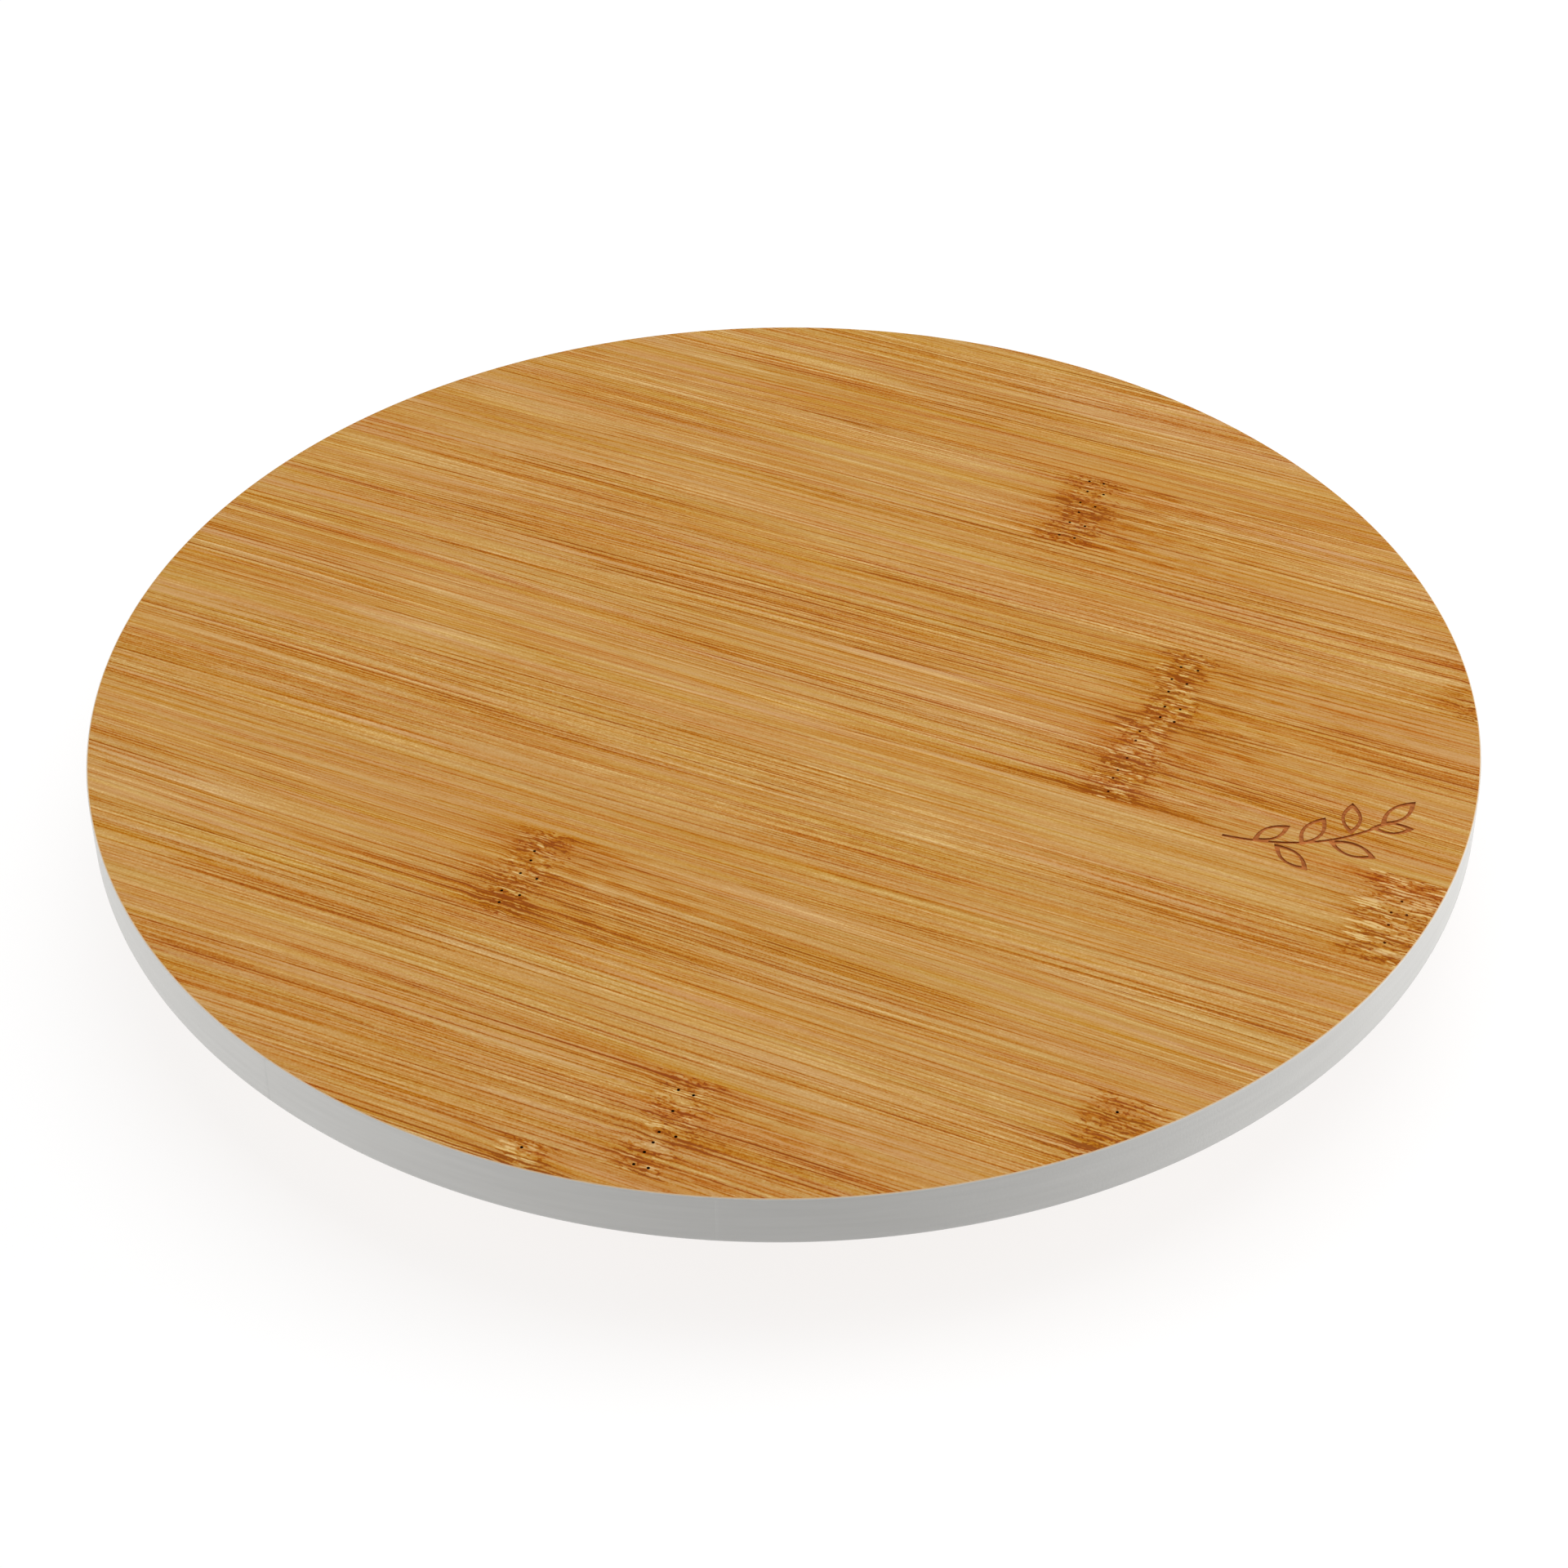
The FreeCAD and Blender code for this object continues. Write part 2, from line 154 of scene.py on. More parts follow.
class Nodes:
    """A shader node tree with one short call for each kind of node. Numbers and sockets mix freely."""

    def __init__(self, tree):
        self.tree = tree

    def add(self, kind, inputs, output=0, **settings):
        node = self.tree.nodes.new(kind)
        for name, value in settings.items():
            setattr(node, name, value)
        for key, value in inputs.items():
            if isinstance(value, bpy.types.NodeSocket):
                self.tree.links.new(value, node.inputs[key])
            else:
                node.inputs[key].default_value = value
        return node.outputs[output]

    def math(self, operation, *values):
        return self.add("ShaderNodeMath", dict(enumerate(values)), operation=operation)

    def times(self, a, b):
        return self.math("MULTIPLY", a, b)

    def plus(self, *values):
        total = values[0]
        for value in values[1:]:
            total = self.math("ADD", total, value)
        return total

    def centred(self, noise, amount):
        """Noise turned into a signed amount about zero."""
        return self.math("MULTIPLY_ADD", noise, 2.0 * amount, -amount)

    def step(self, value, start, end, low=0.0, high=1.0):
        """A smooth step from low to high as value goes from start to end."""
        inputs = {0: value, 1: start, 2: end, 3: low, 4: high}
        return self.add("ShaderNodeMapRange", inputs, interpolation_type="SMOOTHSTEP", clamp=True)

    def bell(self, distance, width):
        """1 where distance is zero, falling away to either side."""
        share = self.math("DIVIDE", distance, width)
        return self.math("EXPONENT", self.math("MULTIPLY", self.times(share, share), -1.0))

    def noise(self, x, y, z, detail=2.0, roughness=0.5):
        vector = self.add("ShaderNodeCombineXYZ", {0: x, 1: y, 2: z})
        inputs = {"Vector": vector, "Scale": 1.0, "Detail": detail, "Roughness": roughness}
        return self.add("ShaderNodeTexNoise", inputs)

    def noise_1d(self, place):
        inputs = {"W": place, "Scale": 1.0, "Detail": 1.0}
        return self.add("ShaderNodeTexNoise", inputs, noise_dimensions="1D")

    def white(self, value):
        return self.add("ShaderNodeTexWhiteNoise", {"W": value}, noise_dimensions="1D")

    def mix(self, share, a, b):
        return self.add("ShaderNodeMix", {0: share, 6: a, 7: b}, output=2, data_type="RGBA")

    def ramp(self, value, stops):
        """A colour ramp through (place, colour) stops."""
        socket = self.add("ShaderNodeValToRGB", {0: value})
        elements = socket.node.color_ramp.elements
        while len(elements) < len(stops):
            elements.new(1.0)
        for element, (place, colour) in zip(elements, stops):
            element.position = place
        for element, (place, colour) in zip(elements, stops):
            element.color = colour
        return socket

    def bump(self, height, distance, strength=1.0):
        return self.add("ShaderNodeBump", {"Height": height, "Distance": distance, "Strength": strength})

    def place(self):
        """Where the point is on the piece at rest, in mm along X, Y and Z."""
        coordinates = self.add("ShaderNodeTexCoord", {}, output="Object")
        scaled = self.add("ShaderNodeVectorMath", {0: coordinates, 3: 1.0 / MM}, operation="SCALE")
        split = self.add("ShaderNodeSeparateXYZ", {0: scaled}).node
        return split.outputs[0], split.outputs[1], split.outputs[2]


def new_material(name, **uniform):
    """A material with its Principled shader, whose even values are set on the shader's own sockets."""
    material = bpy.data.materials.new(name)
    material.use_nodes = True
    shader = material.node_tree.nodes["Principled BSDF"]
    for socket, value in uniform.items():
        shader.inputs[socket.replace("_", " ")].default_value = value
    return material, Nodes(material.node_tree), shader


def finish_material(nodes, shader, colour=None, roughness=None, normal=None):
    for socket, value in (("Base Color", colour), ("Roughness", roughness), ("Normal", normal)):
        if value is not None:
            nodes.tree.links.new(value, shader.inputs[socket])


def culm_sway(y, middle, seed):
    """How far a node of the culm lies from its mean place on the strip, in mm."""
    return CULM_SLANT * (y - middle) + CULM_SWAY * math.sin(CULM_SWAY_RATE * y + seed)


def rim_outline(radius, bottom, top, under_round, top_round):
    """The rim of a round panel, from its flat top to its flat underside, as (radius, height) points."""
    quarter = [0.5 * math.pi * i / ROUND_STEPS for i in range(ROUND_STEPS + 1)]
    points = [(radius - top_round - ROUND_SUPPORT, top)]
    for a in quarter:
        points.append((radius - top_round * (1 - math.sin(a)), top - top_round * (1 - math.cos(a))))
    points.append((radius, top - top_round - ROUND_SUPPORT))
    points.append((radius, bottom + under_round + ROUND_SUPPORT))
    for a in quarter:
        points.append((radius - under_round * (1 - math.cos(a)), bottom + under_round * (1 - math.sin(a))))
    points.append((radius - under_round - ROUND_SUPPORT, bottom))
    return points


def strip_mesh(outline, y_low, y_high):
    """One glued strip of a round panel, as rows of points across it with the rim's outline at both ends."""
    work = bmesh.new()
    radius = max(r for r, z in outline)
    steps = math.ceil((math.asin(y_high / radius) - math.asin(y_low / radius)) / RIM_STEP)
    both_ends = [(1, r, z) for r, z in outline] + [(-1, r, z) for r, z in reversed(outline)]
    rows = []
    for step in range(steps + 1):
        row = []
        for side, r, z in both_ends:
            start, end = (math.asin(max(-1.0, min(1.0, y / r))) for y in (y_low, y_high))
            turn = start + (end - start) * step / steps
            row.append(work.verts.new((side * r * math.cos(turn), r * math.sin(turn), z)))
        rows.append(row)
    for a, b in zip(rows, rows[1:]):
        for i in range(len(a)):
            work.faces.new((a[i - 1], a[i], b[i], b[i - 1]))
    if y_low > -radius + SLIVER:
        work.faces.new(rows[0])
    if y_high < radius - SLIVER:
        work.faces.new(rows[-1])
    bmesh.ops.remove_doubles(work, verts=work.verts, dist=WELD)
    bmesh.ops.recalc_face_normals(work, faces=work.faces)
    return work


def new_object(name, work):
    mesh = bpy.data.meshes.new(name)
    work.to_mesh(mesh)
    work.free()
    made = bpy.data.objects.new(name, mesh)
    bpy.context.scene.collection.objects.link(made)
    return made


def add_prism(work, outline, low, high):
    """A closed upright prism over an outline of (x, y) points."""
    foot = [work.verts.new((x, y, low)) for x, y in outline]
    head = [work.verts.new((x, y, high)) for x, y in outline]
    for i in range(len(foot)):
        work.faces.new((foot[i - 1], foot[i], head[i], head[i - 1]))
    work.faces.new(foot)
    work.faces.new(head)


def circle(x, y, radius, sides):
    turns = [2 * math.pi * i / sides for i in range(sides)]
    return [(x + radius * math.cos(a), y + radius * math.sin(a)) for a in turns]


def carve(piece, work):
    """Takes the solids in work out of the piece."""
    bmesh.ops.recalc_face_normals(work, faces=work.faces)
    cutter = new_object("cutter", work)
    modifier = piece.modifiers.new("carve", "BOOLEAN")
    modifier.operation = "DIFFERENCE"
    modifier.solver = "EXACT"
    modifier.object = cutter
    graph = bpy.context.evaluated_depsgraph_get()
    carved = bpy.data.meshes.new_from_object(piece.evaluated_get(graph))
    piece.modifiers.clear()
    whole = piece.data
    piece.data = carved
    carved.name = piece.name
    for spent in (whole, cutter.data):
        bpy.data.meshes.remove(spent)


def leaf_side(root, degrees, length, belly):
    """One side of a leaf, from its root to its tip, as (x, y) points of a shallow arc."""
    a = math.radians(degrees)
    points = []
    for i in range(LEAF_STEPS + 1):
        share = i / LEAF_STEPS
        out = belly * 4 * share * (1 - share)
        along = length * share
        x = root[0] + along * math.cos(a) - out * math.sin(a)
        y = root[1] + along * math.sin(a) + out * math.cos(a)
        points.append((x, y))
    return points


def leaf_outline(root, degrees, length, belly):
    left = leaf_side(root, degrees, length, belly)
    right = leaf_side(root, degrees, length, -belly)
    return left + right[-2:0:-1]


def leaf_cutter(root, degrees, length, belly):
    """The outline of one engraved leaf as a closed ring with the width of the stroke."""
    a = math.radians(degrees)
    room = STROKE * 0.5 * length / belly
    inner_root = (root[0] + room * math.cos(a), root[1] + room * math.sin(a))
    outer = leaf_outline(root, degrees, length, belly)
    inner = leaf_outline(inner_root, degrees, length - 2 * room, belly - STROKE)
    work = bmesh.new()
    rings = []
    for z in (BOARD_TOP - ENGRAVING_DEPTH, BOARD_TOP + OVERRUN):
        rings.append([work.verts.new((x, y, z)) for x, y in outer])
        rings.append([work.verts.new((x, y, z)) for x, y in inner])
    low_outer, low_inner, high_outer, high_inner = rings
    loop = [low_outer, low_inner, high_inner, high_outer, low_outer]
    for ring, following in zip(loop, loop[1:]):
        for i in range(len(ring)):
            work.faces.new((ring[i - 1], ring[i], following[i], following[i - 1]))
    return work


def stem_cutter(start, bend, end):
    """The engraved stem: a stroke along a smooth curve between three points."""
    left, right = [], []
    for i in range(STEM_STEPS + 1):
        t = i / STEM_STEPS
        at = [(1 - t) ** 2 * s + 2 * t * (1 - t) * b + t * t * e for s, b, e in zip(start, bend, end)]
        way = [2 * (1 - t) * (b - s) + 2 * t * (e - b) for s, b, e in zip(start, bend, end)]
        half = 0.5 * STROKE / math.hypot(*way)
        left.append((at[0] - way[1] * half, at[1] + way[0] * half))
        right.append((at[0] + way[1] * half, at[1] - way[0] * half))
    work = bmesh.new()
    add_prism(work, left + right[::-1], BOARD_TOP - ENGRAVING_DEPTH, BOARD_TOP + OVERRUN)
    return work


def engraving():
    """What the engraved sprig takes out of the board, one stroke at a time."""
    yield stem_cutter(*((x * MM, y * MM) for x, y in STEM))
    for (x, y), degrees, length, belly in LEAVES:
        yield leaf_cutter((x * MM, y * MM), degrees, length * MM, belly * MM)


def pores(culm_nodes, seed, y_low, y_high):
    """Places of the small open pores along each node of the culm, as (x, y) in metres."""
    chance = random.Random(int(10 * seed))
    middle = (y_low + y_high) / 2 / MM
    places = []
    for at, _, _, _ in culm_nodes:
        y = y_low / MM + chance.uniform(*PORE_MARGIN_LOW)
        while y < y_high / MM - PORE_MARGIN_HIGH:
            x = at - culm_sway(y, middle, seed) + chance.uniform(-PORE_STRAY, PORE_STRAY)
            pair = chance.uniform(*PORE_GAP) if chance.random() < PORE_PAIRS else 0.0
            if math.hypot(x + pair, y) < BOARD_RADIUS / MM - PORE_MARGIN_RIM:
                places.append((x * MM, y * MM))
                if pair:
                    places.append(((x + pair) * MM, (y + chance.uniform(-PORE_STRAY, PORE_STRAY)) * MM))
            y += chance.uniform(*PORE_PITCH)
    return places


def hole_cutter(holes, y_low, y_high):
    """Round holes as (x, y, radius, low, high, sides), those that reach into a strip."""
    work = bmesh.new()
    for x, y, radius, low, high, sides in holes:
        if y_low - radius < y < y_high + radius:
            add_prism(work, circle(x, y, radius, sides), low, high)
    return work


def screw_holes(prefix, upward):
    """The pilot holes of four screws, from inside their heads to just past their tips."""
    holes = []
    for i in range(1, 5):
        low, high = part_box(f"{prefix}_{i}")
        x, y = (low.x + high.x) / 2, (low.y + high.y) / 2
        if upward:
            bottom, top = low.z + SCREW_HEAD, high.z + PILOT_SPARE
        else:
            bottom, top = low.z - PILOT_SPARE, high.z - SCREW_HEAD
        holes.append((x, y, PILOT_RADIUS, bottom, top, 24))
    return holes


# The bamboo's tones from dark to pale, and the colours of what lies over it or is cut into it
BAMBOO_TONES = [
    (0.00, linear(139, 64, 0)),
    (0.12, linear(160, 84, 0)),
    (0.26, linear(173, 100, 6)),
    (0.42, linear(180, 120, 45)),
    (0.62, linear(186, 135, 67)),
    (0.80, linear(196, 151, 88)),
    (1.00, linear(213, 175, 114)),
]
MIDDLE_TONE = 0.656
WAXY = linear(192, 141, 91)
BARE_ARRIS = linear(206, 180, 146)
PAINT = [(0.3, linear(203, 202, 199)), (0.7, linear(208, 207, 204))]
BURNT = (linear(158, 88, 38), linear(182, 110, 56))
# inside a pore: its own brown near the top, then painted shade that darkens it to near black further down
PORE_BROWN_AND_PAINTED_SHADE = (linear(96, 50, 16), linear(36, 18, 8))
HUE = 0.504
HUE_SPREAD = 0.016
SATURATION = 0.975
DARK_SATURATION = 0.99
SATURATION_SPREAD = 0.12

# The kinds of strand: their seed, pitch, length and half width in mm, density from 0 to 1, and tone
STRANDS = [
    (5.0, 2.30, 220.0, 0.32, 0.50, -0.10),
    (6.0, 0.97, 130.0, 0.19, 0.70, -0.30),
    (8.0, 0.58, 75.0, 0.14, 0.80, -0.40),
    (9.0, 1.45, 160.0, 0.26, 0.55, 0.08),
    (10.0, 0.76, 95.0, 0.18, 0.55, 0.22),
]

# How the strips differ: their fibres' slope, their tone and the seeds of their patterns
FIBRE_SLOPE = 0.029
FIBRE_SLOPE_SPREAD = 0.010
STRIP_TONE_SPREAD = 0.022
STRIP_SEED_STEP = 13.7
BOARD_SEED = 0.0
BASE_SEED = 400.0


def strand_rows(n, across, z, pitch, seed):
    """Cuts bamboo into strands of even pitch: the number of a point's strand, and its place across it."""
    share = n.times(across, 1.0 / pitch)
    row = n.math("FLOOR", share)
    layer = n.math("FLOOR", n.plus(n.times(z, 0.7), n.white(n.plus(row, seed + 0.11))))
    number = n.plus(row, n.times(layer, 71.3), seed)
    return number, n.times(n.plus(n.math("FRACT", share), -0.5), pitch)


def strands(n, x, across, z, pitch, seed, reach, width, dense):
    """Straight thin lines along the grain that come and go: 1 on a line, 0 between the lines.

    reach is how long they run and width half of how broad they are, both in mm. dense is from 0 to 1.
    """
    number, place = strand_rows(n, across, z, pitch, seed)
    aside = n.centred(n.white(n.plus(number, 0.31)), -0.26 * pitch)
    breadth = n.plus(n.times(n.white(n.plus(number, 0.57)), 0.8 * width), 0.6 * width)
    run = n.noise_1d(n.plus(n.times(x, 1.0 / reach), n.times(n.white(n.plus(number, 0.77)), 90.0)))
    there = n.step(run, 0.62 - 0.24 * dense, 0.70 - 0.24 * dense)
    return n.times(n.bell(n.plus(place, aside), breadth), there)


def culm_node(n, x, y, z, culm, middle, seed):
    """What a node of the culm does to the strip it crosses.

    Returns how far it pushes the fibres aside in mm, and a function that gives its tone from the pushed y.
    """
    at, half_width, pale, dark = culm
    sway = n.times(n.math("SINE", n.math("MULTIPLY_ADD", y, CULM_SWAY_RATE, seed)), CULM_SWAY)
    along = n.plus(x, -at - CULM_SLANT * middle, sway, n.times(y, CULM_SLANT))
    tangle = n.noise(n.times(x, 0.18), n.times(y, 0.4), seed + 11.0, detail=1.0)
    push = n.times(n.centred(tangle, 0.7), n.bell(along, 8.0))

    def dashes(pushed, pitch, aside, length, breadth, own):
        """Short marks side by side across the node, each 1 along its middle."""
        number, place = strand_rows(n, pushed, z, pitch, seed + own)
        spread = n.centred(n.white(n.plus(number, 0.4)), 0.8 * half_width)
        off = n.math("ABSOLUTE", n.plus(along, spread, -aside))
        half = n.plus(n.times(n.white(n.plus(number, 0.9)), length * half_width), 0.45)
        return n.times(n.step(n.math("DIVIDE", off, half), 1.2, 0.5), n.bell(place, breadth))

    def tone(pushed):
        number, place = strand_rows(n, pushed, z, 0.74, seed + 3.0)
        away = n.math("ABSOLUTE", n.plus(along, -1.0))

        # dark streaks that run out of the node along the grain
        chance = n.white(n.plus(number, 0.2))
        reach = n.plus(n.times(n.times(chance, chance), 26.0), half_width + 2.0)
        streak = n.step(n.math("DIVIDE", away, reach), 1.1, 0.1)
        streak = n.times(streak, n.plus(n.times(n.bell(place, 0.22), 0.75), 0.25))

        # a dark smudge beside the node
        smudges = n.noise(n.times(x, 0.13), n.times(pushed, 0.95), seed + 29.0, detail=2.0, roughness=0.6)
        beside = n.times(n.step(along, -16.0, -2.0), n.step(along, 62.0, 6.0))
        smudge = n.times(n.step(smudges, 0.42, 0.66), beside)
        around = n.plus(n.times(streak, -0.28 * dark), n.times(smudge, -0.26 * dark))

        # the mottled core, with ragged ends and dark specks
        ragged = n.plus(away, n.centred(n.white(n.plus(number, 0.6)), 1.8))
        core = n.step(ragged, half_width + 0.8, half_width - 0.8)
        patches = n.noise(n.times(x, 0.45), n.times(pushed, 1.8), seed + 17.0, detail=2.0, roughness=0.6)
        rows = n.times(n.centred(n.white(n.plus(number, 0.8)), 0.22), n.bell(place, 0.34))
        specks = n.noise(n.times(x, 1.1), n.times(pushed, 2.3), seed + 37.0, detail=1.0)
        specks = n.step(specks, 0.53, 0.66, 0.05, -0.34 * dark)
        mottle = n.plus(n.step(patches, 0.36, 0.64, -0.02 * dark, -0.18 * dark), rows, specks)
        mottle = n.times(core, mottle)

        dark_marks = n.times(dashes(pushed, 0.57, 0.8, 0.45, 0.17, 21.0), -0.24 * dark)
        pale_marks = n.times(dashes(pushed, 0.63, 0.4, 0.42, 0.19, 9.0), 0.72 * pale)
        more_pale = n.times(dashes(pushed, 0.47, 1.2, 0.30, 0.14, 33.0), 0.45 * pale)
        return n.plus(around, mottle, dark_marks, pale_marks, more_pale)

    return push, tone


def fibre_tone(n, x, y, z, laid, hairs, seed):
    """The tone of the fibres along the grain, busier in some places than in others."""
    flecks = n.noise(n.times(x, 0.20), n.times(laid, 1.5), n.plus(n.times(z, 1.5), seed + 23.0), detail=2.0)
    grit = n.noise(n.times(x, 0.75), n.times(laid, 2.9), n.plus(n.times(z, 2.0), seed + 27.0), detail=2.0)
    fine = n.noise(n.times(x, 2.4), n.times(laid, 3.2), n.plus(n.times(z, 2.4), seed + 33.0), detail=1.0)
    busy = n.step(n.noise(n.times(x, 0.012), n.times(y, 0.085), seed + 41.0), 0.36, 0.64, 0.68, 1.08)
    fibres = []
    for own, pitch, reach, width, dense, tone in STRANDS:
        fibres.append(n.times(strands(n, x, laid, z, pitch, seed + own, reach, width, dense), tone))
    fibres += [n.centred(hairs, 0.28), n.centred(flecks, 0.16), n.centred(grit, 0.16), n.centred(fine, 0.30)]
    return n.times(n.plus(*fibres), busy)


def bamboo_colour(n, x, laid, z, total, seed):
    """The colour of a tone of bamboo, with waxy places and a little play in hue and saturation."""
    waxy = n.step(n.noise(n.times(x, 0.02), n.times(laid, 0.4), seed + 61.0), 0.46, 0.68, 0.0, 0.45)
    waxy = n.times(waxy, n.step(total, 0.40, 0.62))
    colour = n.mix(waxy, n.ramp(total, BAMBOO_TONES), WAXY)
    rich = n.noise(n.times(x, 0.02), n.times(laid, 0.9), n.plus(n.times(z, 0.9), seed + 67.0), detail=3.0)
    golden = n.noise(n.times(x, 0.012), n.times(laid, 0.5), n.plus(n.times(z, 0.5), seed + 71.0), detail=3.0)
    hue = n.plus(HUE, n.centred(golden, HUE_SPREAD))

    # the darker the tone, the steadier its saturation
    calm = n.step(total, 0.15, 0.50, 0.3, 1.0)
    saturation = n.step(total, 0.12, 0.36, DARK_SATURATION, SATURATION)
    saturation = n.plus(saturation, n.times(n.centred(rich, SATURATION_SPREAD), calm))
    shades = {"Hue": hue, "Saturation": saturation, "Color": colour}
    return n.add("ShaderNodeHueSaturation", shades)


def finish_board(n, x, y, z, inward, hairs, engraved, colour, roughness):
    """Paints the board's rim up to a bare arris, colours the engraving, and the pores with painted shade.
    Lengths in mm.
    """
    down = n.plus(BOARD_TOP / MM, n.times(z, -1.0))
    arris = n.times(n.step(inward, 0.34, 0.24), n.step(down, 0.004, 0.03))
    painted = n.times(n.step(inward, 0.22, 0.14), n.step(down, 0.08, 0.15))
    clouded = n.noise(n.times(x, 0.05), n.times(y, 0.05), n.times(z, 0.9), detail=3.0)
    colour = n.mix(arris, colour, BARE_ARRIS)
    colour = n.mix(painted, colour, n.ramp(clouded, PAINT))
    roughness = n.plus(n.times(roughness, n.plus(1.0, n.times(painted, -1.0))), n.times(painted, 0.52))
    cut = n.times(n.step(inward, 1.6, 2.0), n.times(n.step(down, 0.03, 0.12), n.step(down, 1.2, 1.0)))
    if engraved:
        floor = n.mix(n.step(hairs, 0.35, 0.65), *BURNT)
    else:
        # painted shade: the pores darken from brown towards near black the deeper they go
        floor = n.mix(n.step(down, 0.10, 0.30), *PORE_BROWN_AND_PAINTED_SHADE)
    return n.mix(cut, colour, floor), roughness


def bamboo(name, seed, culm_nodes, slope, tone, y_low, y_high, is_board, engraved):
    """Lacquered bamboo with its fibres along X. Each glued strip has a seed, slope and tone of its own."""
    material, n, shader = new_material(name, Specular_IOR_Level=0.08)
    x, y, z = n.place()
    wander = n.centred(n.noise(n.times(x, 0.008), n.times(y, 0.03), seed + 31.0, detail=1.0), 1.4)
    laid = n.plus(y, n.times(x, slope), wander)
    middle = (y_low + y_high) / 2 / MM
    culms = [culm_node(n, x, y, z, culm, middle, seed + 50.0 * i) for i, culm in enumerate(culm_nodes)]
    for push, _ in culms:
        laid = n.plus(laid, push)

    clouds = n.noise(n.times(x, 0.018), n.times(y, 0.08), seed, detail=2.0)
    bands = n.noise(n.times(x, 0.004), n.times(laid, 0.28), n.plus(n.times(z, 0.24), seed + 3.0), detail=3.0)
    hairs = n.noise(n.times(x, 0.012), n.times(laid, 2.6), n.plus(n.times(z, 2.0), seed + 19.0), detail=2.0)
    marks = fibre_tone(n, x, y, z, laid, hairs, seed)
    for _, culm_tone in culms:
        marks = n.plus(marks, culm_tone(laid))
    out = n.math("SQRT", n.plus(n.times(x, x), n.times(y, y)))
    inward = n.plus((BOARD_RADIUS if is_board else BASE_RADIUS) / MM, n.times(out, -1.0))
    if not is_board:
        # the base's bare rim shows its fibres more faintly
        marks = n.times(marks, n.step(inward, 1.6, 1.0, 1.0, 0.42))
    total = n.plus(MIDDLE_TONE + tone, n.centred(clouds, 0.17), n.centred(bands, 0.11), marks)

    # the dark line of glue between two strips, which comes and goes
    seam = n.math("MINIMUM", n.plus(y, -y_low / MM), n.plus(y_high / MM, n.times(y, -1.0)))
    seam_line = n.times(n.step(seam, 0.22, 0.03), n.step(n.noise(n.times(x, 0.04), seed, 9.0), 0.40, 0.60))
    total = n.plus(total, n.times(seam_line, -0.28))
    colour = bamboo_colour(n, x, laid, z, total, seed)
    roughness = n.plus(n.centred(hairs, 0.16), n.centred(clouds, 0.10), 0.52)
    if is_board:
        colour, roughness = finish_board(n, x, y, z, inward, hairs, engraved, colour, roughness)
    grain = n.noise(n.times(x, 0.05), n.times(y, 2.6), n.times(z, 2.0))
    finish_material(n, shader, colour, roughness, n.bump(grain, 0.03 * MM))
    return material


def steel(name, tint, rough, polish):
    """Zinc-plated or polished steel, with the faint rings that turning leaves and a clouded plating."""
    material, n, shader = new_material(name, Metallic=1.0)
    x, y, z = n.place()
    out = n.math("SQRT", n.plus(n.times(x, x), n.times(y, y)))
    rings = n.noise(n.times(out, 3.0), 0.0, n.times(z, 0.4), detail=2.0)
    cloud = n.noise(n.times(x, 0.18), n.times(y, 0.18), n.times(z, 0.18), detail=4.0, roughness=0.6)
    grain = n.noise(n.times(x, 3.0), n.times(y, 3.0), n.times(z, 3.0), detail=2.0)
    dark = tuple(0.86 * c for c in tint[:3]) + (1.0,)
    colour = n.mix(n.step(cloud, 0.35, 0.65), dark, tint)
    roughness = n.plus(n.centred(cloud, 0.12 * polish), n.centred(rings, 0.10 * polish), rough)
    height = n.plus(n.times(rings, 0.5), n.times(grain, 0.5))
    finish_material(n, shader, colour, roughness, n.bump(height, 0.015 * MM * polish))
    return material


def rubber(name):
    """Black moulded rubber with a fine grain and a little dust."""
    material, n, shader = new_material(name, Specular_IOR_Level=0.35)
    x, y, z = n.place()
    grain = n.noise(n.times(x, 2.6), n.times(y, 2.6), n.times(z, 2.6), detail=3.0)
    dust = n.noise(n.times(x, 0.35), n.times(y, 0.35), n.times(z, 0.35), detail=4.0, roughness=0.65)
    colour = n.mix(n.times(n.step(dust, 0.50, 0.72), 0.5), linear(38, 38, 40), linear(92, 90, 86))
    finish_material(n, shader, colour, n.plus(n.centred(grain, 0.12), 0.68), n.bump(grain, 0.04 * MM))
    return material


def paint_node(node, material):
    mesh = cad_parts[node].data
    mesh.materials.clear()
    mesh.materials.append(material)


def smooth(mesh, degrees):
    """Shades a mesh smooth except along edges sharper than so many degrees."""
    mesh.polygons.foreach_set("use_smooth", [True] * len(mesh.polygons))
    mesh.set_sharp_from_angle(angle=math.radians(degrees))


def carve_strip(strip, y_low, y_high, culm_nodes, seed, holes, is_board):
    """Cuts the holes into a strip, and into a board strip the engraving and the pores as well."""
    if is_board:
        for work in engraving():
            places = [vertex.co.y for vertex in work.verts]
            if max(places) > y_low and min(places) < y_high:
                carve(strip, work)
            else:
                work.free()
        bottom, top = BOARD_TOP - PORE_DEPTH, BOARD_TOP + OVERRUN / 2
        open_pores = pores(culm_nodes, seed, y_low, y_high)
        holes = holes + [(x, y, PORE_RADIUS, bottom, top, 10) for x, y in open_pores]
    work = hole_cutter(holes, y_low, y_high)
    if len(work.verts):
        carve(strip, work)
    else:
        work.free()


